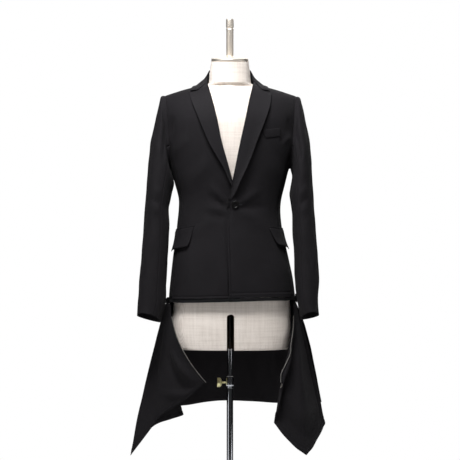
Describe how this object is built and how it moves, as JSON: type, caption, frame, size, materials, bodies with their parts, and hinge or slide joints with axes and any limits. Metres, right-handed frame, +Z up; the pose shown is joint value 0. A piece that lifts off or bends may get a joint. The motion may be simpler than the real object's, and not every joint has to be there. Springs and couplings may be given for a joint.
{
  "type": "tailored jacket on dress form",
  "caption": "Black single-button tailored jacket with a flared zip-off tail whose front quarters hang open, on a limbless linen dress form with a pole stand",
  "frame": {"origin": "on the floor, at the middle of the round base's underside, on the pole's axis", "axes": "+Z is up along the pole, the jacket's front faces -Y, and +X is the wearer's left"},
  "size_m": [0.5795, 0.3636, 1.6456],
  "materials": {
    "suiting": "black wool suiting, fine weave",
    "facing": "black wool suiting, pressed facing",
    "zip_tape": "black woven zip tape with metal teeth",
    "nickel_zip": "nickel zip metal",
    "horn": "black horn button",
    "linen": "cream linen over a firm form",
    "satin_nickel": "warm satin nickel",
    "chrome": "polished chrome tube",
    "pale_brass": "pale worn brass",
    "painted_steel": "light grey paint"
  },
  "bodies": {
    "stand": {"base_plate": "painted_steel", "outer_tube": "chrome", "clamp_collar": "chrome"},
    "figure": {"front_left": "suiting", "front_right": "suiting", "side_left": "suiting", "side_right": "suiting", "back_left": "suiting", "back_right": "suiting", "sleeve_upper_left": "suiting", "sleeve_under_left": "suiting", "sleeve_upper_right": "suiting", "sleeve_under_right": "suiting", "breast_welt": "suiting", "hip_flap_left": "suiting", "hip_flap_right": "suiting", "hip_jet_left": "suiting", "hip_jet_right": "suiting", "tail_back": "suiting", "tail_front_left": "suiting", "tail_front_right": "suiting", "lapel_left": "facing", "lapel_right": "facing", "collar_fall": "facing", "collar_stand": "facing", "hem_zip_left": "zip_tape", "hem_zip_right": "zip_tape", "hem_zip_back": "zip_tape", "tail_zip_left": "zip_tape", "tail_zip_right": "zip_tape", "zip_box": "nickel_zip", "slider_left": "nickel_zip", "slider_right": "nickel_zip", "front_button": "horn", "torso": "linen", "neck_cap": "satin_nickel", "finial": "satin_nickel", "inner_pole": "chrome"},
    "thumbscrew_body": {"thumbscrew": "pale_brass"},
    "pull_left": {"pull_tab_left": "nickel_zip"},
    "pull_right": {"pull_tab_right": "nickel_zip"}
  },
  "joints": [
    {"name": "height", "type": "slide", "parent": "stand", "child": "figure", "axis": [0, 0, 1], "range_m": [-0.06, 0.18]},
    {"name": "thumbscrew_turn", "type": "hinge", "parent": "stand", "child": "thumbscrew_body", "pos_m": [-0.03, 0, 0.5744], "axis": [-1, 0, 0], "range_deg": [-30, 540]},
    {"name": "pull_left_swing", "type": "hinge", "parent": "figure", "child": "pull_left", "pos_m": [0.19779, 0.02127, 0.8256], "axis": [0, -1, 0], "range_deg": [0, 110]},
    {"name": "pull_right_swing", "type": "hinge", "parent": "figure", "child": "pull_right", "pos_m": [-0.18536, 0.02118, 0.81514], "axis": [0, 1, 0], "range_deg": [0, 110]}
  ]
}
